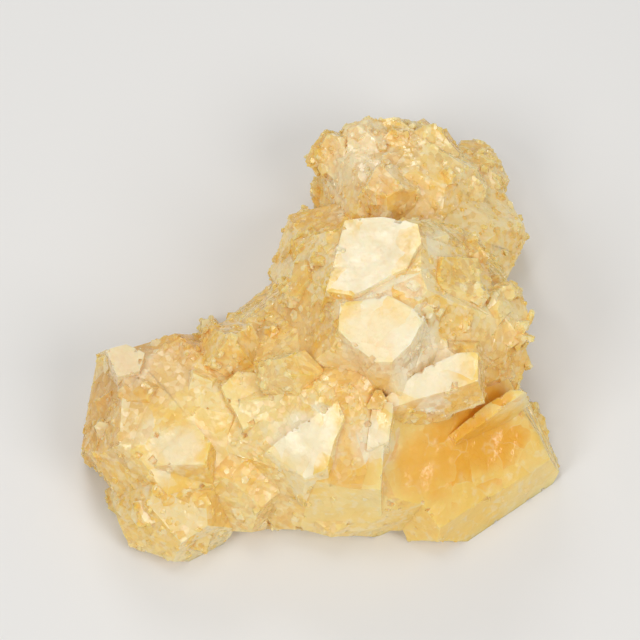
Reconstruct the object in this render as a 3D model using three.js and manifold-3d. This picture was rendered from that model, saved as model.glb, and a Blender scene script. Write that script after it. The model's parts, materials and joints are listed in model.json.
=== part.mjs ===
// A lump of yellow rock sugar: one broken cluster of sugar crystals that grew into each other.
//
// Millimetres, +Z up. The lump rests on its broken flat underside, in the plane Z = 0, with X to the right
// and Y away from the viewer. Its origin is the middle of its bounding box's bottom; the places below are
// measured from a point near it.

import * as THREE from "three";
import { ConvexGeometry } from "three/addons/geometries/ConvexGeometry.js";
import { mergeVertices } from "three/addons/utils/BufferGeometryUtils.js";
import { MeshSurfaceSampler } from "three/addons/math/MeshSurfaceSampler.js";
import Module from "manifold-3d";

const wasm = await Module();
wasm.setup();

const SLAB = 140; // side of the block that a cut takes away, wider than the lump
const BLANK = 70; // side of the block that a crystal is cut out of
const SEED = 7;

// How a crystal's planes lie around it.
const CHUNK_PLANES = 20; // on a large chunk
const BLOCK_PLANES = 11; // on a single larger crystal
const PLANE_SPREAD = 0.5; // how far the planes stray from an even spread, in radians
const PLANE_DEPTH = 0.12; // how much closer to the middle than the others a plane may lie

// Smaller crystals that grew over the rough parts, the larger ones first: how many, their planes, their
// width, and the share of the width by which their middles are sunk.
const GROWTHS = [
  { count: 34, planes: 10, width: [3.5, 6], sunk: 0.44 },
  { count: 80, planes: 9, width: [2, 3.4], sunk: 0.39 },
];
const GROWTH_FLOOR = 1; // no smaller crystal is centred lower than this
const GROWTH_SHAPE = [0.75, 1.25]; // a smaller crystal's least and largest width along an axis

// A face is where a crystal ends flat. It looks towards an azimuth, in degrees from +X towards +Y, rises
// above the level by another angle, and passes through a point.
const face = (azimuth, rise, ...through) => ({ azimuth, rise, through });

const UNDERSIDE = face(0, -90, 0, 0, 0);
const WINDOW = face(310, 45, 9, -16.5, 15); // the large glassy face at the front right

// The large chunks: their middles, half their widths and their faces.
const CHUNKS = {
  core: {
    at: [2, -4, 5],
    half: [23, 19, 10],
    faces: [face(135, 30, -9.8, 2.7, 8), WINDOW],
  },
  peak: {
    at: [9, -1, 10],
    half: [13.5, 13.5, 20],
    faces: [
      face(140, 74, 6.5, 2.1, 24.2),
      face(255, 80, 6, -7.6, 24.5),
      face(10, 50, 17.5, -2, 21.5),
      face(176, 42, 0, -1, 21.5),
      face(95, 35, 8, 10, 22),
      face(272, 30, 7.2, -11.5, 24),
      face(318, 42, 14, -6.5, 21.8),
      face(45, 45, 15, 6, 22),
      face(225, 46, 1.5, -10, 22),
    ],
  },
  front: {
    at: [5, -12, 7],
    half: [19, 11, 14],
    faces: [
      face(120, 80, -3, -9, 19.5),
      face(245, 45, -2, -18, 15),
      face(273, 44, 4.5, -18.7, 15.2),
      face(292, 46, 6.8, -18, 15.2),
      WINDOW,
      face(265, 12, -4, -21.8, 8),
      face(283, 15, 12, -22.4, 7),
    ],
  },
  rightCorner: {
    at: [18, -13, 5],
    half: [12, 11, 10],
    faces: [WINDOW, face(18, 20, 26.5, -12, 6), face(307, 8, 21.5, -19, 2)],
  },
  rightSide: {
    at: [14.5, -1, 8.5],
    half: [9.5, 14, 10.5],
    faces: [face(308, 25, 19, -12, 14.5), face(330, 75, 19, -8, 16)],
  },
  ledge: {
    at: [12.6, -9.8, 15.8],
    half: [8, 4, 6],
    turn: [0, 0, 26],
    faces: [face(255, 66, 12.8, -9.8, 19.8)],
  },
  topKnob: {
    at: [9.5, 20.6, 7.5],
    half: [10, 9.5, 9],
    faces: [face(120, 76, 5, 22, 15), face(200, 15, 0.8, 22, 10)],
  },
  backFlake: {
    at: [17.4, 17, 5.5],
    half: [7, 9.2, 6],
    faces: [face(30, 60, 20.5, 20, 9.5)],
  },
  backWing: {
    at: [3, 12, 5],
    half: [8, 8.5, 7.5],
  },
  leftArm: {
    at: [-16.5, -10.5, 6.5],
    half: [11, 11, 10.5],
    faces: [face(200, 78, -18, -11, 15.5)],
  },
  leftTail: {
    at: [-16.5, -18, 3],
    half: [7, 7.5, 7.5],
  },
  leftFront: {
    at: [-8.5, -14.5, 4.5],
    half: [8.5, 7.8, 9],
    faces: [face(250, 68, -9, -16, 12.8)],
  },
};

// Clean faces that stand a little out of the chunks: where each one ends, and its outline seen from above.
const TABLETS = {
  peakBack: {
    top: face(140, 76, 6.3, 2.4, 25),
    outline: [[3.3, 7.8], [7.6, 7.8], [11.7, 6.2], [12, 3.4], [10.2, -0.2], [4.1, -3.4], [1.1, -2.5]],
  },
  peakFront: {
    top: face(255, 80, 7.2, -7.8, 25.3),
    outline: [[2.8, -4.5], [8, -3.9], [12.4, -6.5], [10.7, -9.7], [8.5, -11.9], [6.7, -11.9], [2.4, -8]],
  },
  ledgeTop: {
    top: face(250, 64, 13.3, -11.9, 21.2),
    outline: [[7.2, -14], [12, -11], [16.3, -9.6], [18.5, -9.7], [18.5, -12.7], [8.5, -14.7]],
  },
  kite: {
    top: face(240, 52, -1.1, -17.7, 16.4),
    outline: [[-5.9, -18], [-3.7, -16.9], [2.2, -14.2], [3, -15.8], [1.1, -20.5], [-1.5, -21.2]],
  },
  ridge: {
    top: face(265, 62, 19.8, -12.4, 13.8),
    outline: [[15.4, -14.7], [19.8, -11.7], [22.8, -10], [24.1, -10.2], [20.2, -13], [16.3, -15.4]],
  },
  stripTop: {
    top: face(240, 47, 6.7, -18.4, 16),
    outline: [[6.2, -13.8], [8.9, -14.6], [8.3, -18], [5.8, -18.4]],
  },
  stripFoot: {
    top: face(225, 45, 6.2, -20, 14.1),
    outline: [[5.6, -17.6], [7.8, -17.8], [7.3, -22.4], [4.9, -21.6]],
  },
  leftBlock: {
    top: face(230, 70, -15.9, -17.4, 14.2),
    outline: [[-19.4, -15.7], [-17.2, -14.7], [-14.1, -14.8], [-12.2, -17], [-12.8, -19.5], [-18.9, -19]],
  },
  leftDisc: {
    top: face(250, 72, -8, -12.3, 16.6),
    outline: [[-11.1, -10.8], [-9.4, -9], [-6.3, -9.4], [-4.8, -11.6], [-5.9, -14.6], [-8.5, -15.7]],
  },
  leftTip: {
    top: face(220, 66, -22.4, -6.8, 16.2),
    outline: [[-24.6, -5.3], [-22.4, -4.9], [-20.2, -6.3], [-20.7, -8.4], [-23.3, -8.6]],
  },
};
const TABLET_DEPTH = 5; // how far a tablet reaches below its face
const TABLET_FLARE = 1.22; // how much wider than its face it is there

// Single larger crystals that stand out of the chunks.
const BLOCKS = [
  { at: [-9.8, -5.4, 14.5], half: [4, 3.5, 3.5] },
  { at: [-3, -10.4, 18.5], half: [3.5, 3, 2.5] },
  { at: [15.4, 0.7, 20], half: [4, 4, 3.2] },
  { at: [20.7, 0, 15.5], half: [3, 4.5, 3.5] },
  { at: [13.5, 23.4, 11.5], half: [4, 3.5, 3.5] },
  { at: [6.5, 24.8, 12.4], half: [3.5, 3, 3] },
  { at: [2.6, 24.2, 11], half: [3, 3, 3] },
  { at: [19, 23.5, 6.5], half: [4, 3.5, 3.5] },
  { at: [8.5, 17.2, 14], half: [4, 3, 3] },
];

// No smaller crystal grew on the clean faces and corners, within the radius around each of these points.
const CLEAN = [
  { at: [6.5, 2.1, 25], radius: 5.5 },
  { at: [7.5, -7.8, 25.3], radius: 5 },
  { at: [13, -11.4, 20], radius: 5.5 },
  { at: [-1.1, -17.7, 16], radius: 4.8 },
  { at: [5.6, -19, 14], radius: 4.5 },
  { at: [-15.9, -17.4, 14.2], radius: 3.4 },
  { at: [-8, -12.3, 16.6], radius: 3.2 },
  { at: [19.8, -12.4, 13.8], radius: 3.5 },
  { at: [12, -16.5, 12], radius: 6 },
  { at: [19, -16, 8.5], radius: 8 },
  { at: [6, -22, 5], radius: 6 },
  { at: [-2, -21, 4], radius: 4 },
  { at: [26, -14, 4], radius: 4 },
  { at: [25, 14, 7], radius: 4 },
];

const random = makeRandom(SEED);

function makeRandom(seed) {
  let state = seed;
  return () => {
    state = (state * 1664525 + 1013904223) % 2 ** 32;
    return state / 2 ** 32;
  };
}

const randomTurn = () => [360 * random(), 360 * random(), 360 * random()];

function solidOf(geometry) {
  geometry.deleteAttribute("normal");
  geometry.deleteAttribute("uv");
  const merged = mergeVertices(geometry, 1e-4);
  return new wasm.Manifold(
    new wasm.Mesh({
      numProp: 3,
      vertProperties: merged.getAttribute("position").array,
      triVerts: new Uint32Array(merged.index.array),
    }),
  );
}

function geometryOf(solid) {
  const { vertProperties, triVerts, numProp } = solid.getMesh();
  const corners = new THREE.InterleavedBuffer(vertProperties, numProp);
  const geometry = new THREE.BufferGeometry();
  geometry.setAttribute("position", new THREE.InterleavedBufferAttribute(corners, 3, 0));
  geometry.setIndex(new THREE.BufferAttribute(triVerts, 1));
  return geometry.toNonIndexed();
}

const joined = (solids) => solids.reduce((all, solid) => all.add(solid));

// Takes away everything beyond the plane that passes through a point and looks along a direction.
function cutBeyond(solid, direction, through) {
  const up = new THREE.Vector3(0, 0, 1);
  const slab = new THREE.BoxGeometry(SLAB, SLAB, SLAB);
  slab.translate(0, 0, SLAB / 2);
  slab.applyQuaternion(new THREE.Quaternion().setFromUnitVectors(up, direction));
  slab.translate(...through);
  return solid.subtract(solidOf(slab));
}

// The direction that a face looks along.
function outwards({ azimuth, rise }) {
  const polar = THREE.MathUtils.degToRad(90 - rise);
  const around = THREE.MathUtils.degToRad(azimuth);
  return new THREE.Vector3(
    Math.sin(polar) * Math.cos(around),
    Math.sin(polar) * Math.sin(around),
    Math.cos(polar),
  );
}

const cutFace = (solid, end) => cutBeyond(solid, outwards(end), end.through);

// A blank cut by planes that lie all around it, each as far from its middle as an ellipsoid would be, and
// then by its own faces.
function crystal({ at, half, turn = [0, 0, 0], faces = [] }, planes) {
  const middle = new THREE.Vector3(...at);
  const halfWidths = new THREE.Vector3(...half);
  const angles = new THREE.Euler(...turn.map(THREE.MathUtils.degToRad));
  const golden = Math.PI * (3 - Math.sqrt(5));
  const blank = new THREE.BoxGeometry(BLANK, BLANK, BLANK);
  blank.translate(...at);
  let solid = solidOf(blank);
  for (let i = 0; i < planes; i += 1) {
    const height = 1 - (2 * i + 1) / planes;
    const around = i * golden + PLANE_SPREAD * (random() - 0.5);
    const ring = Math.sqrt(1 - height ** 2);
    const direction = new THREE.Vector3(ring * Math.cos(around), ring * Math.sin(around), height);
    const reach = direction.clone().multiply(halfWidths).length() * (1 - PLANE_DEPTH * random());
    direction.applyEuler(angles);
    solid = cutBeyond(solid, direction, middle.clone().addScaledVector(direction, reach));
  }
  return faces.reduce(cutFace, solid);
}

// A crystal that ends in one clean face and widens below it.
function tablet({ top, outline }) {
  const end = new THREE.Plane();
  end.setFromNormalAndCoplanarPoint(outwards(top), new THREE.Vector3(...top.through));
  const down = new THREE.Ray(new THREE.Vector3(), new THREE.Vector3(0, 0, -1));
  const corners = outline.map(([x, y]) => {
    down.origin.set(x, y, SLAB);
    return down.intersectPlane(end, new THREE.Vector3());
  });
  const middle = corners.reduce((sum, corner) => sum.add(corner), new THREE.Vector3());
  middle.divideScalar(corners.length);
  const feet = corners.map((corner) => {
    const foot = corner.clone().sub(middle).multiplyScalar(TABLET_FLARE).add(middle);
    return foot.setZ(foot.z - TABLET_DEPTH);
  });
  return solidOf(new ConvexGeometry([...corners, ...feet]));
}

function isRough(place, margin) {
  return CLEAN.every(({ at, radius }) => place.distanceTo(new THREE.Vector3(...at)) > radius + margin);
}

// Smaller crystals, half sunk in a body at places drawn evenly over its rough parts.
function grownOver(body, { count, planes, width, sunk }) {
  const sampler = new MeshSurfaceSampler(new THREE.Mesh(geometryOf(body)));
  sampler.setRandomGenerator(random);
  sampler.build();
  const place = new THREE.Vector3();
  const normal = new THREE.Vector3();
  const grown = [];
  while (grown.length < count) {
    sampler.sample(place, normal);
    const size = THREE.MathUtils.lerp(...width, random() ** 2);
    const half = [0, 1, 2].map(() => (size / 2) * THREE.MathUtils.lerp(...GROWTH_SHAPE, random()));
    place.addScaledVector(normal, -sunk * size);
    if (place.z > GROWTH_FLOOR && isRough(place, size / 2)) {
      grown.push(crystal({ at: place.toArray(), half, turn: randomTurn() }, planes));
    }
  }
  return joined([body, ...grown]);
}

function makeCluster() {
  const chunks = Object.values(CHUNKS).map((chunk) => crystal(chunk, CHUNK_PLANES));
  const blocks = BLOCKS.map((block) => crystal({ turn: randomTurn(), ...block }, BLOCK_PLANES));
  const tablets = Object.values(TABLETS).map(tablet);
  const body = cutFace(joined([...chunks, ...blocks, ...tablets]), UNDERSIDE);
  return cutFace(GROWTHS.reduce(grownOver, body), UNDERSIDE);
}

function makeLump() {
  const geometry = geometryOf(makeCluster());
  const sugar = new THREE.MeshStandardMaterial({
    name: "yellow rock sugar",
    color: 0xe6b45a,
    roughness: 0.35,
    metalness: 0,
    flatShading: true,
  });
  const lump = new THREE.Mesh(geometry, sugar);
  geometry.computeBoundingBox();
  const middle = geometry.boundingBox.getCenter(new THREE.Vector3());
  lump.name = "lump";
  lump.position.set(-middle.x, -middle.y, 0);
  return lump;
}

const rockSugar = new THREE.Group();
rockSugar.add(makeLump());
export default rockSugar;
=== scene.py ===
import json
import math

import bmesh
import bpy
import numpy as np
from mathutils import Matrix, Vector, noise
from mathutils.bvhtree import BVHTree

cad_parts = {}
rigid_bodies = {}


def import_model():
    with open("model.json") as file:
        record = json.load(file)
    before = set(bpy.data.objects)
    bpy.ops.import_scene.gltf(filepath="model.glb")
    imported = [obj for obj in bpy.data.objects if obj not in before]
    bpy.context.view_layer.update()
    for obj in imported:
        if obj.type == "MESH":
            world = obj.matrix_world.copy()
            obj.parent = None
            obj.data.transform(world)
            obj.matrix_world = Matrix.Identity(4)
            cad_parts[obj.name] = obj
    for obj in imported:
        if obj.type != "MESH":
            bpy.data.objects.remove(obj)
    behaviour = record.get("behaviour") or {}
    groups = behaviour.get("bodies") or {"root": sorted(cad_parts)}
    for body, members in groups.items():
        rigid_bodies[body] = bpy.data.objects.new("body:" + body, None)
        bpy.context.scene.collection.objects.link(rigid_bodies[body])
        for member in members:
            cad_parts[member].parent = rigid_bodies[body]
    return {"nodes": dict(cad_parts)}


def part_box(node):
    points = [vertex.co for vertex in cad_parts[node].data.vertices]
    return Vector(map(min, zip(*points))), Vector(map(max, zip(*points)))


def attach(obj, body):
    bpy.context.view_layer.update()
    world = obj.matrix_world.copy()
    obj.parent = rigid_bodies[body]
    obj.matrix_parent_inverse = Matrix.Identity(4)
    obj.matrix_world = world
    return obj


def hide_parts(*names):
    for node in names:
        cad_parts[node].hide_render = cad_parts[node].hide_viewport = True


bl_info = {
    "name": "Rock Sugar Lump",
    "version": (1, 0, 0),
    "blender": (4, 5, 0),
    "location": "View3D > Sidebar > Rock Sugar",
    "description": "A lump of yellow rock sugar on a pale stage",
    "category": "Object",
}

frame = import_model()
BOX_LOW, BOX_HIGH = (Vector(corner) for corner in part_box("lump"))
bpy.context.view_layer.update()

MM = 0.001


def at(x, y, z):
    """A place given in millimetres."""
    return Vector((x, y, z)) * MM


FLAT_TURN = math.radians(0.6)  # faces that turn less than this from each other are one level face
RIM_TURN = math.radians(15)  # an edge of a clean face that turns more than this can be chipped
SHARP_TURN = math.radians(11)  # an edge of the finished surface that turns more than this is sharp
MOST_LEAN = math.cos(math.radians(25))  # how far a corner's normal may lean from its face's own
NORMAL_ROUNDS = 3  # how often the corners' normals are measured and put right
CLEAN_AREA = 5.0 * MM * MM  # a level face smaller than this is never clean
CLEAN_LIMIT = 0.5  # a face rougher than this isn't clean
DOWNWARD = -0.9  # a face whose normal is lower than this lies on the floor
MERGE_DISTANCE = 0.002 * MM
MOST_KEPT = 0.85  # the largest share of the grown skin's triangles that is kept
SPLIT_ROUNDS = 8
PROUD = np.array((0.8, 0.8, 0.5)) * MM  # how far the surface may stand out of the solid's box

# Seeds of what is drawn at random, and how far the grains' seeds are apart from tier to tier and from the
# chips' seeds.
CRYSTAL_SEED = 11
GRAIN_SEED = 3
TINT_SEED = 5
SWELL_SEED = 8
TIER_SEEDS = 50.0
CHIP_SEEDS = 700.0

CLEAN_TINTS = 0.3  # how widely the clean faces' tints are spread

# How each crystal is drawn: how many kinds there are, the least number of its sides and the number that it
# stays under, how far its corners stray around it, how far out they are, and how far a ring is shifted.
CRYSTAL_KINDS = 12
SIDES = (4, 7)
CORNER_STRAY = 0.3
CORNER_REACH = (0.34, 0.5)
RING_SHIFT = 0.06

# The grains: how many are left where the patches are thinnest, and, as shares of a tier's width, its
# smallest grain and the least distance between two.
LEAST_SHOWN = 0.12
LEAST_GRAIN = 0.45
GRAIN_DISTANCE = 0.4

# The chips, as shares of their largest width: the smallest one, the distance between two places for one
# along an edge, and how far a chip strays from its place.
LEAST_CHIP = 0.25
CHIP_DISTANCE = 0.35
CHIP_STRAY = 0.12

# The finer swell's size and height as shares of the broad one's, and the height over which both grow from
# nothing at the floor.
FINE_SWELL = 0.3
SWELL_RISE = 2.5 * MM

# How the thickness and the openness are measured: directions around a point, how far off the surface a ray
# starts, how far it goes, and how steep to the surface it is.
RAY_DIRECTIONS = 40
RAY_START = 0.08 * MM
DEEPEST = 30 * MM
SKY_REACH = 8 * MM
INWARD = -0.55
OUTWARD = 0.3

# Where the clean faces are: a place near each one's middle, how far around it counts, and how rough it is.
CLEAN_PLACES = [
    (at(5.9, 0, 25), 4 * MM, 0.0),
    (at(6.8, -10.2, 25.3), 4 * MM, 0.0),
    (at(13, -14.4, 21.2), 3 * MM, 0.0),
    (at(-1.5, -20.1, 16.4), 3.5 * MM, 0.0),
    (at(6.9, -18.6, 17.5), 2 * MM, 0.0),
    (at(6, -22.3, 14), 2 * MM, 0.0),
    (at(19.4, -14.8, 13.8), 3 * MM, 0.0),
    (at(18.6, -18.4, 8.5), 8 * MM, 0.06),
    (at(5.6, -24.4, 5), 9 * MM, 0.25),
    (at(-16.3, -19.8, 14.2), 2.5 * MM, 0.15),
    (at(-8.4, -14.7, 16.6), 2.5 * MM, 0.25),
    (at(-22.8, -9.2, 16.2), 2.5 * MM, 0.15),
]

# ---------------------------------------------------------------------------------------------------
# Sizes and colours
# ---------------------------------------------------------------------------------------------------


class SugarSizes(bpy.types.PropertyGroup):
    """Sizes of the grains on the lump's surface."""

    coarse_width: bpy.props.FloatProperty(
        name="Coarse grain", description="Largest width of the coarse grains",
        default=2.3 * MM, min=0.5 * MM, max=8 * MM, unit="LENGTH", precision=5,
    )
    coarse_density: bpy.props.FloatProperty(
        name="Coarse grains", description="Coarse grains on a square metre of rough surface",
        default=220000, min=0, max=1e6,
    )
    medium_width: bpy.props.FloatProperty(
        name="Medium grain", description="Largest width of the medium grains",
        default=1.25 * MM, min=0.3 * MM, max=5 * MM, unit="LENGTH", precision=5,
    )
    medium_density: bpy.props.FloatProperty(
        name="Medium grains", description="Medium grains on a square metre of rough surface",
        default=800000, min=0, max=2e6,
    )
    fine_width: bpy.props.FloatProperty(
        name="Fine grain", description="Largest width of the fine grains",
        default=0.7 * MM, min=0.2 * MM, max=3 * MM, unit="LENGTH", precision=5,
    )
    fine_density: bpy.props.FloatProperty(
        name="Fine grains", description="Fine grains on a square metre of rough surface",
        default=1500000, min=0, max=4e6,
    )
    chip_width: bpy.props.FloatProperty(
        name="Chip", description="Largest width of the chips along the clean faces' edges",
        default=1.5 * MM, min=0.2 * MM, max=5 * MM, unit="LENGTH", precision=5,
    )
    chip_share: bpy.props.FloatProperty(
        name="Chips", description="Share of the clean faces' edges that is chipped",
        default=0.18, min=0, max=1, subtype="FACTOR",
    )
    patch_width: bpy.props.FloatProperty(
        name="Patches", description="Rough width of the patches that are more or less grainy",
        default=7 * MM, min=1 * MM, max=30 * MM, unit="LENGTH", precision=5,
    )
    swell_height: bpy.props.FloatProperty(
        name="Swell height", description="How far the surface swells and dips",
        default=0.35 * MM, min=0, max=2 * MM, unit="LENGTH", precision=5,
    )
    swell_width: bpy.props.FloatProperty(
        name="Swell width", description="Rough width of the swells and dips",
        default=6 * MM, min=1 * MM, max=30 * MM, unit="LENGTH", precision=5,
    )
    triangles: bpy.props.IntProperty(
        name="Triangles", description="Triangles that the grown skin is thinned to",
        default=135000, min=1000, max=180000,
    )
    mesh_step: bpy.props.FloatProperty(
        name="Mesh step", description="Longest edge on the finished surface",
        default=1.0 * MM, min=0.3 * MM, max=5 * MM, unit="LENGTH", precision=5,
    )


class SugarColours(bpy.types.PropertyGroup):
    """Colours of the sugar and of the floor under it."""

    # Frost is the frosted sugar. It is also the colour of the painted highlights on the bright facets, of
    # the painted glints on grains, and, mixed with pale, of the painted light on thin edges.
    frost_and_highlight: bpy.props.FloatVectorProperty(
        name="Frost", description="Frosted faces and thin edges",
        default=(0.94, 0.83, 0.60), subtype="COLOR", size=3, min=0, max=1,
    )
    # Pale is also painted light on the lower front face and on the front window's lower right edge.
    pale: bpy.props.FloatVectorProperty(
        name="Pale", description="Thin sugar and the paler grains",
        default=(0.95, 0.74, 0.33), subtype="COLOR", size=3, min=0, max=1,
    )
    honey: bpy.props.FloatVectorProperty(
        name="Honey", description="Most of the body",
        default=(0.93, 0.62, 0.15), subtype="COLOR", size=3, min=0, max=1,
    )
    # Amber is also painted shade and glow in sheltered hollows, under the front window's ledge and in the
    # dip left of the middle.
    amber: bpy.props.FloatVectorProperty(
        name="Amber", description="The thickest clear sugar",
        default=(0.88, 0.43, 0.03), subtype="COLOR", size=3, min=0, max=1,
    )
    # Tan also darkens some grains, partly as painted shade between them.
    tan: bpy.props.FloatVectorProperty(
        name="Tan", description="The duller granular flanks",
        default=(0.66, 0.36, 0.11), subtype="COLOR", size=3, min=0, max=1,
    )
    floor: bpy.props.FloatVectorProperty(
        name="Floor", description="The stage under the lump",
        default=(0.80, 0.79, 0.77), subtype="COLOR", size=3, min=0, max=1,
    )


# ---------------------------------------------------------------------------------------------------
# Node trees
# ---------------------------------------------------------------------------------------------------


class Wire:
    """An output socket. Arithmetic on it adds Math nodes to its tree."""

    def __init__(self, board, socket):
        self.board = board
        self.socket = socket

    def _math(self, operation, first, second, clamp=False):
        settings = {"operation": operation, "use_clamp": clamp}
        return self.board.add("ShaderNodeMath", settings, {0: first, 1: second})

    def __add__(self, other):
        return self._math("ADD", self, other)

    def __sub__(self, other):
        return self._math("SUBTRACT", self, other)

    def __rsub__(self, other):
        return self._math("SUBTRACT", other, self)

    def __mul__(self, other):
        return self._math("MULTIPLY", self, other)

    def __rtruediv__(self, other):
        return self._math("DIVIDE", other, self)

    def clamped(self):
        return self._math("ADD", self, 0.0, clamp=True)

    __radd__ = __add__
    __rmul__ = __mul__


class Board:
    """Adds nodes to a tree and links them."""

    def __init__(self, tree):
        self.tree = tree

    def add(self, kind, settings=None, inputs=None, output=0):
        """Adds a node, sets its settings and then its inputs, and returns a wire from one output."""
        node = self.tree.nodes.new(kind)
        for name, value in (settings or {}).items():
            setattr(node, name, value)
        for key, value in (inputs or {}).items():
            self.plug(node.inputs[key], value)
        return Wire(self, node.outputs[output]) if len(node.outputs) else node

    def plug(self, socket, value):
        if isinstance(value, Wire):
            self.tree.links.new(value.socket, socket)
        else:
            socket.default_value = value

    def mix(self, factor, first, second):
        """A colour between two others."""
        settings = {"data_type": "RGBA", "blend_type": "MIX"}
        return self.add("ShaderNodeMix", settings, {0: factor, 6: first, 7: second}, output=2)

    def ramp(self, value, low, high):
        """A value's way from low to high, as 0 to 1."""
        settings = {"interpolation_type": "SMOOTHSTEP"}
        places = {"Value": value, "From Min": low, "From Max": high}
        return self.add("ShaderNodeMapRange", settings, places)

    def noise(self, place, scale, detail):
        return self.add("ShaderNodeTexNoise", None, {"Vector": place, "Scale": scale, "Detail": detail})

    def colour_noise(self, place, scale):
        return self.add("ShaderNodeTexNoise", None, {"Vector": place, "Scale": scale}, output="Color")

    def cell(self, place, scale, output):
        """What the small cell around a place gives: its own Color or Position."""
        inputs = {"Vector": place, "Scale": scale}
        return self.add("ShaderNodeTexVoronoi", {"feature": "F1"}, inputs, output=output)

    def boolean(self, operation, first, second):
        """Joins two closed meshes into one, or cuts the second from the first."""
        node = self.tree.nodes.new("GeometryNodeMeshBoolean")
        node.operation = operation
        node.solver = "MANIFOLD"
        if operation == "DIFFERENCE":
            self.plug(node.inputs["Mesh 1"], first)
        else:
            self.plug(node.inputs["Mesh 2"], first)
        self.plug(node.inputs["Mesh 2"], second)
        return Wire(self, node.outputs["Mesh"])

    def value_between(self, low, high, seed):
        settings = {"data_type": "FLOAT"}
        return self.add("FunctionNodeRandomValue", settings, {2: low, 3: high, "Seed": seed}, output=1)

    def vector_between(self, low, high, seed):
        settings = {"data_type": "FLOAT_VECTOR"}
        return self.add("FunctionNodeRandomValue", settings, {0: low, 1: high, "Seed": seed})

    def crystals(self, collection):
        """The crystals in a collection, to be picked from."""
        settings = {"transform_space": "ORIGINAL"}
        inputs = {"Collection": collection, "Separate Children": True, "Reset Children": True}
        return self.add("GeometryNodeCollectionInfo", settings, inputs)

    def attribute(self, name):
        return self.add("ShaderNodeAttribute", {"attribute_name": name}, output="Fac")


def opaque(colour):
    return (*colour, 1.0)


# ---------------------------------------------------------------------------------------------------
# The lump's form
# ---------------------------------------------------------------------------------------------------


def merged_solid():
    """A copy of the solid's mesh with its loose triangles merged.

    Its faces say how rough they are and have a tint, its points say how many grains may grow near them, and
    its edges say which of them are rims of clean faces.
    """
    mesh = frame["nodes"]["lump"].data.copy()
    mesh.name = "sugar_body"
    shape = bmesh.new()
    shape.from_mesh(mesh)
    bmesh.ops.remove_doubles(shape, verts=shape.verts, dist=MERGE_DISTANCE)
    rough = shape.faces.layers.float.new("rough")
    tint = shape.faces.layers.float.new("tint")
    rng = np.random.default_rng(TINT_SEED)
    for patch in level_patches(shape):
        area = sum(face.calc_area() for face in patch)
        middle = sum((face.calc_center_median() * face.calc_area() for face in patch), Vector()) / area
        own_rough = 0.0 if on_floor(patch[0]) else roughness_of(area, middle)
        own_tint = 0.5 + (rng.uniform() - 0.5) * (CLEAN_TINTS if own_rough < CLEAN_LIMIT else 1.0)
        for face in patch:
            face[rough] = own_rough
            face[tint] = own_tint
    grow = shape.verts.layers.float.new("grow")
    for vert in shape.verts:
        vert[grow] = min(1.0 if on_floor(face) else face[rough] for face in vert.link_faces)
    rim = shape.edges.layers.float.new("rim")
    for edge in shape.edges:
        clean = any(face[rough] < CLEAN_LIMIT and not on_floor(face) for face in edge.link_faces)
        if clean and edge.calc_face_angle_signed(0.0) > RIM_TURN:
            edge[rim] = 1.0
    shape.to_mesh(mesh)
    shape.free()
    mesh.materials.clear()
    return mesh


def on_floor(face):
    return face.normal.z < DOWNWARD


def roughness_of(area, middle):
    """How many grains grow on a level patch of the solid, from none to all."""
    if area > CLEAN_AREA:
        for place, reach, rough in CLEAN_PLACES:
            if (middle - place).length < reach:
                return rough
    return 1.0


def level_patches(shape):
    """Groups of joined faces that lie in one plane."""
    seen = set()
    for start in shape.faces:
        if start in seen:
            continue
        seen.add(start)
        patch = [start]
        for face in patch:
            for edge in face.edges:
                for other in edge.link_faces:
                    if other not in seen and other.normal.angle(start.normal, math.pi) < FLAT_TURN:
                        seen.add(other)
                        patch.append(other)
        yield patch


def gem_mesh(name, rng, tints, rings):
    """A faceted crystal about one metre wide, with corners in rings, to be scattered much smaller."""
    shape = bmesh.new()
    sides = int(rng.integers(*SIDES))
    angles = (np.arange(sides) + rng.uniform(-CORNER_STRAY, CORNER_STRAY, sides)) * math.tau / sides
    reaches = rng.uniform(*CORNER_REACH, sides)
    outline = np.stack((np.cos(angles) * reaches, np.sin(angles) * reaches), axis=1)
    for height, spread in rings:
        shift = rng.uniform(-RING_SHIFT, RING_SHIFT, 2)
        for corner in outline * spread + shift:
            shape.verts.new((*corner, height))
    hull = bmesh.ops.convex_hull(shape, input=shape.verts)
    bmesh.ops.delete(shape, geom=hull["geom_interior"], context="VERTS")
    bmesh.ops.dissolve_limit(shape, angle_limit=0.01, verts=shape.verts, edges=shape.edges)
    bmesh.ops.recalc_face_normals(shape, faces=shape.faces)
    rough = shape.faces.layers.float.new("rough")
    tint = shape.faces.layers.float.new("tint")
    grow = shape.verts.layers.float.new("grow")
    own_tint = rng.uniform(*tints)
    for face in shape.faces:
        face[rough] = 1.0
        face[tint] = own_tint
    for vert in shape.verts:
        vert[grow] = 1.0
    mesh = bpy.data.meshes.new(name)
    shape.to_mesh(mesh)
    shape.free()
    return mesh


# The crystals that are scattered: the range of their tints, and the height and spread of each ring of
# corners from the top down.
CRYSTALS = {
    "gem": ((0.0, 1.0), ((0.0, 0.78), (-0.25, 1.0), (-1.0, 1.15))),
    "grit": ((0.0, 1.0), ((0.0, 0.8), (-1.0, 1.2))),
    "chip": ((0.65, 0.9), ((0.3, 0.75), (0.0, 1.0), (-0.3, 0.8))),
}

# Each tier of grains, the larger ones first: its name, its crystals, how far its top is above the skin and
# how deep its foot is below it, as shares of its width, and how far it may tilt.
GRAIN_TIERS = {
    "Coarse": ("gem", 0.05, 0.3, math.radians(9)),
    "Medium": ("gem", 0.09, 0.35, math.radians(18)),
    "Fine": ("grit", 0.16, 0.5, math.radians(30)),
}
FLOOR_CUT = 0.2  # width of the block under the floor that cuts the skin off there


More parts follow.
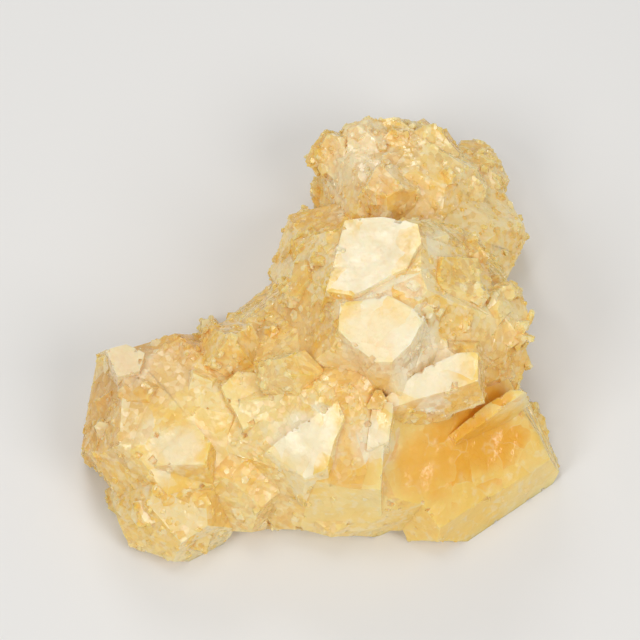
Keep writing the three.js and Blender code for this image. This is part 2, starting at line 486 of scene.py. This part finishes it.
def grain_tree(kinds, sugar):
    """Geometry Nodes that grow grains over the rough faces and join them to the body as one skin."""
    tree = bpy.data.node_groups.new("Sugar grains", "GeometryNodeTree")
    side = tree.interface
    side.new_socket("Geometry", in_out="INPUT", socket_type="NodeSocketGeometry")
    for tier in GRAIN_TIERS:
        side.new_socket(f"{tier} width", in_out="INPUT", socket_type="NodeSocketFloat")
        side.new_socket(f"{tier} density", in_out="INPUT", socket_type="NodeSocketFloat")
    for name in ("Chip width", "Chip share", "Patch width"):
        side.new_socket(name, in_out="INPUT", socket_type="NodeSocketFloat")
    side.new_socket("Seed", in_out="INPUT", socket_type="NodeSocketInt")
    side.new_socket("Geometry", in_out="OUTPUT", socket_type="NodeSocketGeometry")
    board = Board(tree)
    given = tree.nodes.new("NodeGroupInput")
    source = {socket.name: Wire(board, socket) for socket in given.outputs if socket.name}
    crystals = {name: board.crystals(group) for name, group in kinds.items()}
    rough = board.add("GeometryNodeInputNamedAttribute", {"data_type": "FLOAT"}, {"Name": "rough"})
    grow = board.add("GeometryNodeInputNamedAttribute", {"data_type": "FLOAT"}, {"Name": "grow"})
    place = board.add("GeometryNodeInputPosition")
    patches = board.add(
        "ShaderNodeTexNoise", None,
        {"Vector": place, "Scale": 1.0 / source["Patch width"], "Detail": 1.0, "Distortion": 0.6},
    )

    chips = chipped_at(board, source, crystals["chip"])
    skin = board.boolean("DIFFERENCE", source["Geometry"], chips)
    for index, (tier, lie) in enumerate(GRAIN_TIERS.items()):
        seed = source["Seed"] + TIER_SEEDS * index
        shown = LEAST_SHOWN + (1.0 - LEAST_SHOWN) * board.ramp(patches, 0.38, 0.58)
        spread = {"Density Max": source[f"{tier} density"], "Density Factor": rough * grow * shown}
        grown = grown_on(board, skin, crystals, source[f"{tier} width"], spread, seed, lie)
        skin = board.boolean("UNION", skin, grown)
    slab = board.add("GeometryNodeMeshCube", None, {"Size": (FLOOR_CUT,) * 3})
    slab = board.add(
        "GeometryNodeTransform", None, {"Geometry": slab, "Translation": (0.0, 0.0, -FLOOR_CUT / 2)},
    )
    skin = board.boolean("DIFFERENCE", skin, slab)
    real = board.add("GeometryNodeRealizeInstances", None, {"Geometry": skin})
    dressed = board.add("GeometryNodeSetMaterial", None, {"Geometry": real, "Material": sugar})
    taken = tree.nodes.new("NodeGroupOutput")
    board.plug(taken.inputs[0], dressed)
    return tree


def chipped_at(board, source, crystals):
    """Crystals to be cut out here and there along the edges of the clean faces."""
    width = source["Chip width"]
    seed = source["Seed"] + CHIP_SEEDS
    rim = board.add("GeometryNodeInputNamedAttribute", {"data_type": "FLOAT"}, {"Name": "rim"})
    edges = board.add("GeometryNodeMeshToCurve", None, {"Mesh": source["Geometry"], "Selection": rim})
    points = board.add(
        "GeometryNodeCurveToPoints", {"mode": "LENGTH"}, {"Curve": edges, "Length": width * CHIP_DISTANCE},
    )
    chosen = board.add(
        "FunctionNodeRandomValue", {"data_type": "BOOLEAN"},
        {"Probability": source["Chip share"], "Seed": seed}, output=3,
    )
    stray = board.vector_between((-1.0, -1.0, -1.0), (1.0, 1.0, 1.0), seed + 1.0)
    shift = {0: stray, "Scale": width * CHIP_STRAY}
    offset = board.add("ShaderNodeVectorMath", {"operation": "SCALE"}, shift)
    placed = board.add("GeometryNodeSetPosition", None, {"Geometry": points, "Offset": offset})
    share = board.value_between(0.0, 1.0, seed + 2.0)
    return board.add(
        "GeometryNodeInstanceOnPoints", None,
        {
            "Points": placed, "Selection": chosen, "Instance": crystals, "Pick Instance": True,
            "Rotation": board.vector_between((0.0, 0.0, 0.0), (math.tau,) * 3, seed + 3.0),
            "Scale": width * (LEAST_CHIP + (1.0 - LEAST_CHIP) * share * share),
        },
    )


def grown_on(board, skin, crystals, width, spread, seed, lie):
    """Crystals of one tier, each flat side up on the skin and tilted a little."""
    kind, lift, depth, tilt = lie
    points = board.add(
        "GeometryNodeDistributePointsOnFaces", {"distribute_method": "POISSON"},
        {"Mesh": skin, "Seed": seed, "Distance Min": width * GRAIN_DISTANCE, **spread},
    )
    normal = Wire(board, points.socket.node.outputs["Normal"])
    flat = Wire(board, points.socket.node.outputs["Rotation"])
    own_width = width * board.value_between(LEAST_GRAIN, 1.0, seed + 2.0)
    rise = {0: normal, "Scale": own_width * lift}
    offset = board.add("ShaderNodeVectorMath", {"operation": "SCALE"}, rise)
    placed = board.add("GeometryNodeSetPosition", None, {"Geometry": points, "Offset": offset})
    turn = board.vector_between((-tilt, -tilt, 0.0), (tilt, tilt, math.tau), seed + 1.0)
    turned = board.add(
        "FunctionNodeRotateRotation", {"rotation_space": "LOCAL"}, {"Rotation": flat, "Rotate By": turn},
    )
    scale = board.add(
        "ShaderNodeVectorMath", {"operation": "SCALE"}, {0: (1.0, 1.0, depth + lift), "Scale": own_width},
    )
    return board.add(
        "GeometryNodeInstanceOnPoints", None,
        {
            "Points": placed, "Instance": crystals[kind], "Pick Instance": True, "Rotation": turned,
            "Scale": scale,
        },
    )


def set_inputs(modifier, values):
    for item in modifier.node_group.interface.items_tree:
        if item.in_out == "INPUT" and item.name in values:
            modifier[item.identifier] = values[item.name]


def crystal_collection(name, rng, tints, rings):
    kinds = bpy.data.collections.new(name)
    for index in range(CRYSTAL_KINDS):
        own_name = f"{name}_{index}"
        kinds.objects.link(bpy.data.objects.new(own_name, gem_mesh(own_name, rng, tints, rings)))
    return kinds


def grown_mesh(body, sizes, sugar):
    """The body's mesh with its grains grown on, thinned, and bent a little."""
    rng = np.random.default_rng(CRYSTAL_SEED)
    kinds = {
        name: crystal_collection(name, rng, tints, rings)
        for name, (tints, rings) in CRYSTALS.items()
    }
    grow = body.modifiers.new("Grains", "NODES")
    grow.node_group = grain_tree(kinds, sugar)
    given = {
        "Seed": GRAIN_SEED,
        "Chip width": sizes.chip_width,
        "Chip share": sizes.chip_share,
        "Patch width": sizes.patch_width,
    }
    for tier in GRAIN_TIERS:
        given[f"{tier} width"] = getattr(sizes, f"{tier.lower()}_width")
        given[f"{tier} density"] = getattr(sizes, f"{tier.lower()}_density")
    set_inputs(grow, given)
    mesh = evaluated_copy(body)
    body.modifiers.clear()
    for group in kinds.values():
        for kind in list(group.objects):
            data = kind.data
            bpy.data.objects.remove(kind)
            bpy.data.meshes.remove(data)
        bpy.data.collections.remove(group)

    keep_largest(mesh)
    cut_into_triangles(mesh)
    body.data = mesh
    thin = body.modifiers.new("Thin", "DECIMATE")
    thin.ratio = min(MOST_KEPT, sizes.triangles / len(mesh.polygons))
    thinned = evaluated_copy(body)
    body.modifiers.clear()
    keep_largest(thinned)
    split_long_edges(thinned, sizes.mesh_step)
    make_uneven(thinned, sizes.swell_height, sizes.swell_width)
    return thinned


def make_uneven(mesh, height, width):
    """Bends the surface a little, which leaves no face or edge quite straight."""
    noise.seed_set(SWELL_SEED)
    points = points_of(mesh)
    for index, point in enumerate(points):
        place = Vector(point)
        broad = noise.noise_vector(place / width)
        close = noise.noise_vector(place / (FINE_SWELL * width))
        held = min(1.0, place.z / SWELL_RISE)
        points[index] += np.array(broad + FINE_SWELL * close) * height * held
    set_points(mesh, points)


def keep_largest(mesh):
    """Removes everything but the largest joined part, such as crumbs cut loose and closed hollows."""
    shape = bmesh.new()
    shape.from_mesh(mesh)
    left = set(shape.verts)
    parts = []
    while left:
        part = [left.pop()]
        for vert in part:
            for edge in vert.link_edges:
                other = edge.other_vert(vert)
                if other in left:
                    left.remove(other)
                    part.append(other)
        parts.append(part)
    parts.sort(key=len)
    loose = [vert for part in parts[:-1] for vert in part]
    bmesh.ops.delete(shape, geom=loose, context="VERTS")
    shape.to_mesh(mesh)
    shape.free()


def cut_into_triangles(mesh):
    """Cuts every face into triangles, with no more than two of them at any edge."""
    shape = bmesh.new()
    shape.from_mesh(mesh)
    bmesh.ops.triangulate(shape, faces=shape.faces, ngon_method="BEAUTY")
    for edge in [edge for edge in shape.edges if len(edge.link_faces) > 2]:
        # Two faces were cut along the same line: one of them gets a corner of its own in the middle of it.
        first, *rest = edge.link_loops
        facing = [loop for loop in rest if loop.vert is not first.vert]
        second = max(facing, key=lambda loop: loop.face.normal.dot(first.face.normal))
        ends = set(edge.verts)
        middle = shape.verts.new(sum((vert.co for vert in ends), Vector()) / 2)
        pair = [first.face, second.face]
        for face in pair:
            corners = list(face.verts)
            for start, end in zip(corners, corners[1:] + corners[:1]):
                if {start, end} != ends:
                    shape.faces.new((start, end, middle), face)
        bmesh.ops.delete(shape, geom=pair, context="FACES_ONLY")
    shape.to_mesh(mesh)
    shape.free()


def split_long_edges(mesh, longest):
    """Splits the clean faces' long edges, so that what is measured at points varies over them."""
    shape = bmesh.new()
    shape.from_mesh(mesh)
    rough = shape.faces.layers.float["rough"]
    for _ in range(SPLIT_ROUNDS):
        long_edges = [
            edge for edge in shape.edges
            if edge.calc_length() > longest and any(face[rough] < CLEAN_LIMIT for face in edge.link_faces)
        ]
        long_edges.sort(key=lambda edge: edge.calc_length(), reverse=True)
        for edge in long_edges:
            _, middle = bmesh.utils.edge_split(edge, edge.verts[0], 0.5)
            for face in list(middle.link_faces):
                corners = list(face.verts)  # a triangle's three and the new one
                opposite = corners[(corners.index(middle) + 2) % 4]
                bmesh.utils.face_split(face, middle, opposite)
    shape.to_mesh(mesh)
    shape.free()


def evaluated_copy(piece):
    bpy.context.view_layer.update()
    graph = bpy.context.evaluated_depsgraph_get()
    return bpy.data.meshes.new_from_object(piece.evaluated_get(graph))


def points_of(mesh):
    points = np.empty(len(mesh.vertices) * 3)
    mesh.vertices.foreach_get("co", points)
    return points.reshape(-1, 3)


def set_points(mesh, points):
    mesh.vertices.foreach_set("co", points.ravel())
    mesh.update()


def keep_inside(mesh):
    """Keeps the surface within a little of the solid's box."""
    low = np.array(BOX_LOW) - PROUD
    low[2] = BOX_LOW.z
    set_points(mesh, np.clip(points_of(mesh), low, np.array(BOX_HIGH) + PROUD))


def sharpen(mesh):
    """Makes the edges sharp where the surface turns, and around each face that would be shaded askew."""
    mesh.shade_smooth()
    mesh.set_sharp_from_angle(angle=SHARP_TURN)
    edges = np.empty(len(mesh.loops), dtype=np.int32)
    mesh.loops.foreach_get("edge_index", edges)
    sharp = np.empty(len(mesh.edges), dtype=bool)
    corners = np.empty(len(mesh.loops) * 3)
    normals = np.empty(len(mesh.polygons) * 3)
    for _ in range(NORMAL_ROUNDS):
        mesh.corner_normals.foreach_get("vector", corners)
        mesh.polygon_normals.foreach_get("vector", normals)
        leans = (corners.reshape(-1, 3, 3) * normals.reshape(-1, 1, 3)).sum(axis=2).min(axis=1)
        mesh.attributes["sharp_edge"].data.foreach_get("value", sharp)
        sharp[edges.reshape(-1, 3)[leans < MOST_LEAN]] = True
        mesh.attributes["sharp_edge"].data.foreach_set("value", sharp)
        mesh.update()


def spread_directions(count):
    """Directions spread evenly over a sphere."""
    index = np.arange(count) + 0.5
    height = 1 - 2 * index / count
    around = index * math.pi * (3 - math.sqrt(5))
    ring = np.sqrt(1 - height**2)
    return [Vector(way) for way in zip(ring * np.cos(around), ring * np.sin(around), height)]


def add_attribute(mesh, name, values):
    layer = mesh.attributes.new(name, "FLOAT", "POINT")
    layer.data.foreach_set("value", np.asarray(values, dtype=np.float32))


def measure_surface(mesh):
    """Writes how thick the sugar is at each point, in millimetres, and how much sky the point sees."""
    skin = bmesh.new()
    skin.from_mesh(mesh)
    tree = BVHTree.FromBMesh(skin)
    skin.free()
    ways = spread_directions(RAY_DIRECTIONS)
    thick, open_sky = [], []
    for vertex in mesh.vertices:
        place, normal = vertex.co, vertex.normal
        inside = place - normal * RAY_START
        outside = place + normal * RAY_START
        chords = []
        free = 0
        seen = 0
        for way in ways:
            facing = way.dot(normal)
            if facing < INWARD:
                hit = tree.ray_cast(inside, way, DEEPEST)
                chords.append(hit[3] if hit[0] else DEEPEST)
            elif facing > OUTWARD:
                seen += 1
                free += tree.ray_cast(outside, way, SKY_REACH)[0] is None
        thick.append(sum(chords) / max(len(chords), 1))
        open_sky.append(free / max(seen, 1))
    add_attribute(mesh, "thick", np.array(thick) / MM)
    add_attribute(mesh, "open", open_sky)


# ---------------------------------------------------------------------------------------------------
# The sugar's finish
# ---------------------------------------------------------------------------------------------------


# How fine each pattern is: about how many of its features go into a metre.
VEIL_SCALE = 150.0
MOTTLE_SCALE = 420.0
FLECK_SCALE = 900.0
HAZE_SCALE = 500.0
SWELL_SCALE = 800.0
BEND_SCALE = 300.0
CELL_SCALE = 280.0  # the cells between the cracks
GRAIN_SCALE = 1500.0
BEND_REACH = 3 * MM  # how far the cells are bent out of shape
SWELL_RELIEF = 0.11 * MM

# Where the sugar's colour departs from the rest: a place, how far around it reaches, the colour's name and
# how strongly it shows. Some of them paint highlights, light or shade, as noted at each.
ZONES = [
    (at(17, -20.1, 7), 13 * MM, "honey", 0.75),
    # Clear amber, and painted shade under the ledge at the top of the front right window.
    (at(18.6, -16.8, 10.5), 7 * MM, "amber", 0.9),
    (at(12.5, -20.1, 11), 5.5 * MM, "amber", 0.65),
    # Painted light along the lower right edge of the front right window.
    (at(23.5, -19.6, 3), 5.5 * MM, "pale", 0.5),
    # The lower front face is painted pale: partly its own paler sugar, partly painted light that reaches it
    # from the floor and through the sugar.
    (at(3, -24.6, 6), 8 * MM, "pale", 0.5),
    (at(5.1, -14.3, 21), 4.5 * MM, "amber", 0.35),
    (at(19, -9.9, 16), 5 * MM, "amber", 0.3),
    (at(18, 2.4, 17), 4.5 * MM, "amber", 0.3),
    (at(-25, -13.6, 8), 9 * MM, "tan", 0.5),
    (at(-20, -9.6, 14), 8 * MM, "tan", 0.4),
    (at(-16, -24.6, 7), 6 * MM, "honey", 0.6),
    # Amber painted as shade in the dip left of the middle.
    (at(-13.6, -4.7, 14), 5 * MM, "amber", 0.4),
    (at(-4.8, 8.5, 9), 6 * MM, "honey", 0.7),
    (at(8, 15.4, 14), 8 * MM, "tan", 0.2),
    (at(2, 9.4, 8), 7 * MM, "tan", 0.45),
    (at(5.9, 0, 25), 7.5 * MM, "frost_and_highlight", 0.8),
    (at(6.8, -10.2, 25.3), 6.5 * MM, "frost_and_highlight", 0.65),
    # The next four are bright facets: frosted sugar, whitened further by painted highlights.
    (at(13, -14.4, 21.2), 6 * MM, "frost_and_highlight", 0.9),
    (at(-1.5, -20.1, 16.4), 5 * MM, "frost_and_highlight", 0.8),
    (at(6.5, -20.1, 15.5), 3.5 * MM, "frost_and_highlight", 0.8),
    (at(-16.3, -19.8, 14.2), 5 * MM, "frost_and_highlight", 0.65),
    (at(-8.4, -14.7, 16.6), 5.5 * MM, "pale", 0.7),
    (at(-3.4, -8.1, 17.7), 5 * MM, "pale", 0.5),
    (at(-23.6, -17.1, 13.7), 5 * MM, "pale", 0.4),
    # A glint on the left arm's tip, painted as frost: a painted highlight.
    (at(-22.8, -9.2, 16.2), 4 * MM, "frost_and_highlight", 0.6),
    # The knob's top: pale frost, partly painted glints.
    (at(5, 18, 15.1), 9 * MM, "frost_and_highlight", 0.5),
    (at(21.2, -5.2, 19.2), 6 * MM, "pale", 0.6),
]


def sugar_colour(board, colours, place):
    """The sugar's colour, with painted light and shade in it; where it is frosted and has painted
    highlights; and a number that is the same all over one small grain.
    """
    rough = board.attribute("rough")
    tint = board.attribute("tint")
    veil = board.noise(place, VEIL_SCALE, 3.0)
    mottle = board.noise(place, MOTTLE_SCALE, 3.0)
    fleck = board.noise(place, FLECK_SCALE, 2.0)
    bend = {0: board.colour_noise(place, BEND_SCALE), 1: (BEND_REACH,) * 3, 2: place}
    bent = board.add("ShaderNodeVectorMath", {"operation": "MULTIPLY_ADD"}, bend)
    inner = board.cell(bent, CELL_SCALE, "Color") + 0.0  # the sum makes the cell's colour one number
    frost_and_highlight, pale, honey, amber, tan = (
        opaque(getattr(colours, name)) for name in ("frost_and_highlight", "pale", "honey", "amber", "tan")
    )

    # The body is pale and honey in patches, and departs from that in zones with ragged borders, some of
    # which paint highlights, light and shade. The amber zones are laid over it after the tints and the
    # clouds, because the sugar is clear there; the amber under the front window's ledge and in the dip left
    # of the middle is also painted shade.
    body = board.mix(board.ramp(veil + 0.35 * mottle + 0.3 * inner, 0.6, 1.0), pale, honey)
    stray = 0.8 * (veil - 0.5) + 0.6 * (mottle - 0.5) + 0.7 * (inner - 0.5)
    frost_and_highlight_zones = 0.0
    clear = []
    for centre, reach, name, strength in ZONES:
        ends = {0: place, 1: centre}
        apart = board.add("ShaderNodeVectorMath", {"operation": "DISTANCE"}, ends, output="Value")
        near = strength * board.ramp(apart + stray * reach, reach, 0.45 * reach)
        if name == "amber":
            clear.append(near)
            continue
        body = board.mix(near, body, opaque(getattr(colours, name)))
        if name == "frost_and_highlight":
            frost_and_highlight_zones = near + frost_and_highlight_zones

    # Each face has its own tint. Sheltered hollows are painted amber, a painted shade and glow of the light
    # that wanders through the sugar, and thin edges are painted pale, as painted light that shines through
    # them.
    shade = tint + 0.7 * (fleck - 0.5)
    cream = board.mix(0.4, frost_and_highlight, pale)
    body = board.mix(0.45 * board.ramp(shade, 0.55, 1.0), body, cream)
    body = board.mix(0.3 * board.ramp(shade, 0.45, 0.0), body, amber)
    # Painted shade and glow: amber where a point sees little sky.
    body = board.mix(0.4 * board.ramp(board.attribute("open"), 0.6, 0.1), body, amber)
    # Painted light: paler where the sugar is thin.
    body = board.mix(0.4 * board.ramp(board.attribute("thick"), 5.0, 0.5), body, cream)

    # Clouds run through all but the clear sugar, and pale cracks through that too.
    cloud = board.ramp(fleck + 0.6 * (veil - 0.5), 0.54, 0.70)
    body = board.mix(0.3 * cloud, body, frost_and_highlight)
    for near in clear:
        body = board.mix(near, body, amber)
    cells = {"Vector": bent, "Scale": CELL_SCALE}
    border = board.add("ShaderNodeTexVoronoi", {"feature": "DISTANCE_TO_EDGE"}, cells)
    crack = board.ramp(border, 0.035, 0.0) * board.ramp(mottle, 0.45, 0.6)
    body = board.mix(0.28 * crack, body, cream)

    # Small grains are lighter and darker where the surface is rough: each grain's own tone, with painted
    # glints on the lighter ones and painted shade on the darker ones.
    grain = board.cell(place, GRAIN_SCALE, "Color") + 0.5 * (tint - 0.5)
    body = board.mix(0.25 * rough * board.ramp(grain, 0.52, 0.8), body, frost_and_highlight)
    body = board.mix(0.25 * rough * board.ramp(grain, 0.45, 0.2), body, tan)
    return body, frost_and_highlight_zones.clamped(), grain


def sugar_relief(board, place):
    """The height of the finest grain, a small tilted facet for each cell, and of faint swells."""
    rough = board.attribute("rough")
    own = board.cell(place, GRAIN_SCALE, "Color")
    tilt = board.add("ShaderNodeVectorMath", {"operation": "SUBTRACT"}, {0: own, 1: (0.5,) * 3})
    middle = board.cell(place, GRAIN_SCALE, "Position")
    away = board.add("ShaderNodeVectorMath", {"operation": "SUBTRACT"}, {0: place, 1: middle})
    facet = board.add(
        "ShaderNodeVectorMath", {"operation": "DOT_PRODUCT"}, {0: tilt, 1: away}, output="Value",
    )
    swell = board.noise(place, SWELL_SCALE, 4.0) * SWELL_RELIEF
    return facet * (0.06 + 0.4 * rough) + swell


def sugar_material(colours):
    material = bpy.data.materials.new("yellow_rock_sugar")
    material.use_nodes = True
    tree = material.node_tree
    tree.nodes.clear()
    board = Board(tree)
    place = board.add("ShaderNodeTexCoord", output="Object")
    body, frost_and_highlight_zones, grain = sugar_colour(board, colours, place)
    bump = board.add(
        "ShaderNodeBump", None, {"Strength": 0.8, "Distance": 1.0, "Height": sugar_relief(board, place)},
    )
    haze = board.noise(place, HAZE_SCALE, 3.0)
    sparkle = board.attribute("rough") * (grain - 0.58)  # some grains are glossier than others
    roughness = 0.18 + 0.5 * (haze - 0.5) + 0.14 * frost_and_highlight_zones - 0.25 * sparkle
    shader = board.add(
        "ShaderNodeBsdfPrincipled", {"subsurface_method": "RANDOM_WALK"},
        {
            "Base Color": body, "Roughness": roughness, "IOR": 1.54, "Normal": bump,
            "Subsurface Weight": 0.6, "Subsurface Radius": (1.0, 0.78, 0.5), "Subsurface Scale": 1.4 * MM,
        },
    )
    board.add("ShaderNodeOutputMaterial", None, {"Surface": shader})
    return material


class ROCKSUGAR_OT_lump(bpy.types.Operator):
    """Grow the sugar's grains over the solid and give the lump its finish"""

    bl_idname = "rock_sugar.lump"
    bl_label = "Lump"

    def execute(self, context):
        sizes = context.scene.sugar_sizes
        sugar = sugar_material(context.scene.sugar_colours)
        body_mesh = merged_solid()
        lump = bpy.data.objects.new("sugar_lump", body_mesh)
        context.scene.collection.objects.link(lump)
        mesh = grown_mesh(lump, sizes, sugar)
        mesh.name = "sugar_lump"
        keep_inside(mesh)
        measure_surface(mesh)
        mesh.materials.clear()
        mesh.materials.append(sugar)
        sharpen(mesh)
        lump.data = mesh
        bpy.data.meshes.remove(body_mesh)
        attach(lump, "root")
        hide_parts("lump")
        return {"FINISHED"}


# ---------------------------------------------------------------------------------------------------
# The stage
# ---------------------------------------------------------------------------------------------------

VIEW_RISE = math.radians(60)  # how far above the level the camera looks from
VIEW_DISTANCE = 0.60
VIEW_WIDTH = 76 * MM  # what the image's width shows at the lump
NEAR_LIMIT = 0.01  # what is closer to the camera isn't shown
SENSOR = 36.0
LOOK_AT = at(0, 0, 9.5)  # the camera and the lights face this place
FLOOR_REACH = 3.0
SKY_STRENGTH = 0.36

# Round studio lights: name, place, power in watts and width.
LIGHTS = (
    ("key", (-0.40, -0.36, 0.52), 1.32, 0.30),
    ("top", (-0.05, 0.06, 0.62), 0.53, 0.30),
    ("fill", (0.34, -0.35, 0.47), 1.4, 0.36),
    ("spark", (-0.20, -0.20, 0.64), 0.20, 0.06),
    ("back", (-0.12, 0.44, 0.38), 0.5, 0.20),
)


def place_facing(scene, name, data, place):
    """Places a camera or a light so that it faces the lump."""
    holder = bpy.data.objects.new(name, data)
    holder.location = place
    holder.rotation_euler = (LOOK_AT - place).to_track_quat("-Z", "Y").to_euler()
    scene.collection.objects.link(holder)
    return holder


def add_camera(scene):
    camera = bpy.data.cameras.new("camera")
    camera.sensor_width = SENSOR
    camera.lens = SENSOR * VIEW_DISTANCE / VIEW_WIDTH
    camera.clip_start = NEAR_LIMIT
    back = Vector((0.0, -math.cos(VIEW_RISE), math.sin(VIEW_RISE)))
    scene.camera = place_facing(scene, "camera", camera, LOOK_AT + back * VIEW_DISTANCE)


def add_floor(scene):
    mesh = bpy.data.meshes.new("floor")
    corners = [(x * FLOOR_REACH, y * FLOOR_REACH, 0) for x, y in ((-1, -1), (1, -1), (1, 1), (-1, 1))]
    mesh.from_pydata(corners, [], [(0, 1, 2, 3)])
    floor = bpy.data.objects.new("floor", mesh)
    scene.collection.objects.link(floor)
    pale = bpy.data.materials.new("pale_floor")
    pale.use_nodes = True
    surface = pale.node_tree.nodes["Principled BSDF"]
    surface.inputs["Base Color"].default_value = opaque(scene.sugar_colours.floor)
    surface.inputs["Roughness"].default_value = 0.6
    mesh.materials.append(pale)


def add_lights(scene):
    for name, place, power, width in LIGHTS:
        light = bpy.data.lights.new(name, "AREA")
        light.shape = "DISK"
        light.energy = power
        light.size = width
        place_facing(scene, name, light, Vector(place))
    world = bpy.data.worlds.new("studio")
    world.use_nodes = True
    sky = world.node_tree.nodes["Background"]
    sky.inputs["Color"].default_value = (1.0, 1.0, 1.0, 1.0)
    sky.inputs["Strength"].default_value = SKY_STRENGTH
    scene.world = world


class ROCKSUGAR_OT_stage(bpy.types.Operator):
    """Add the floor, the studio lights and the camera"""

    bl_idname = "rock_sugar.stage"
    bl_label = "Stage"

    def execute(self, context):
        scene = context.scene
        add_camera(scene)
        add_floor(scene)
        add_lights(scene)
        scene.view_settings.view_transform = "Standard"
        return {"FINISHED"}


class ROCKSUGAR_PT_panel(bpy.types.Panel):
    """Lists the steps that make the rock sugar lump"""

    bl_label = "Rock Sugar"
    bl_idname = "ROCKSUGAR_PT_panel"
    bl_space_type = "VIEW_3D"
    bl_region_type = "UI"
    bl_category = "Rock Sugar"

    def draw(self, context):
        for group in (context.scene.sugar_sizes, context.scene.sugar_colours):
            for name in group.bl_rna.properties.keys():
                if name not in ("rna_type", "name"):
                    self.layout.prop(group, name)
        for operator in OPERATORS:
            self.layout.operator(operator.bl_idname)


OPERATORS = (ROCKSUGAR_OT_stage, ROCKSUGAR_OT_lump)
CLASSES = (SugarSizes, SugarColours, *OPERATORS, ROCKSUGAR_PT_panel)


def register():
    for cls in CLASSES:
        bpy.utils.register_class(cls)
    bpy.types.Scene.sugar_sizes = bpy.props.PointerProperty(type=SugarSizes)
    bpy.types.Scene.sugar_colours = bpy.props.PointerProperty(type=SugarColours)


def unregister():
    del bpy.types.Scene.sugar_colours
    del bpy.types.Scene.sugar_sizes
    for cls in reversed(CLASSES):
        bpy.utils.unregister_class(cls)


def main():
    register()
    bpy.ops.rock_sugar.stage()
    bpy.ops.rock_sugar.lump()


if __name__ == "__main__":
    main()
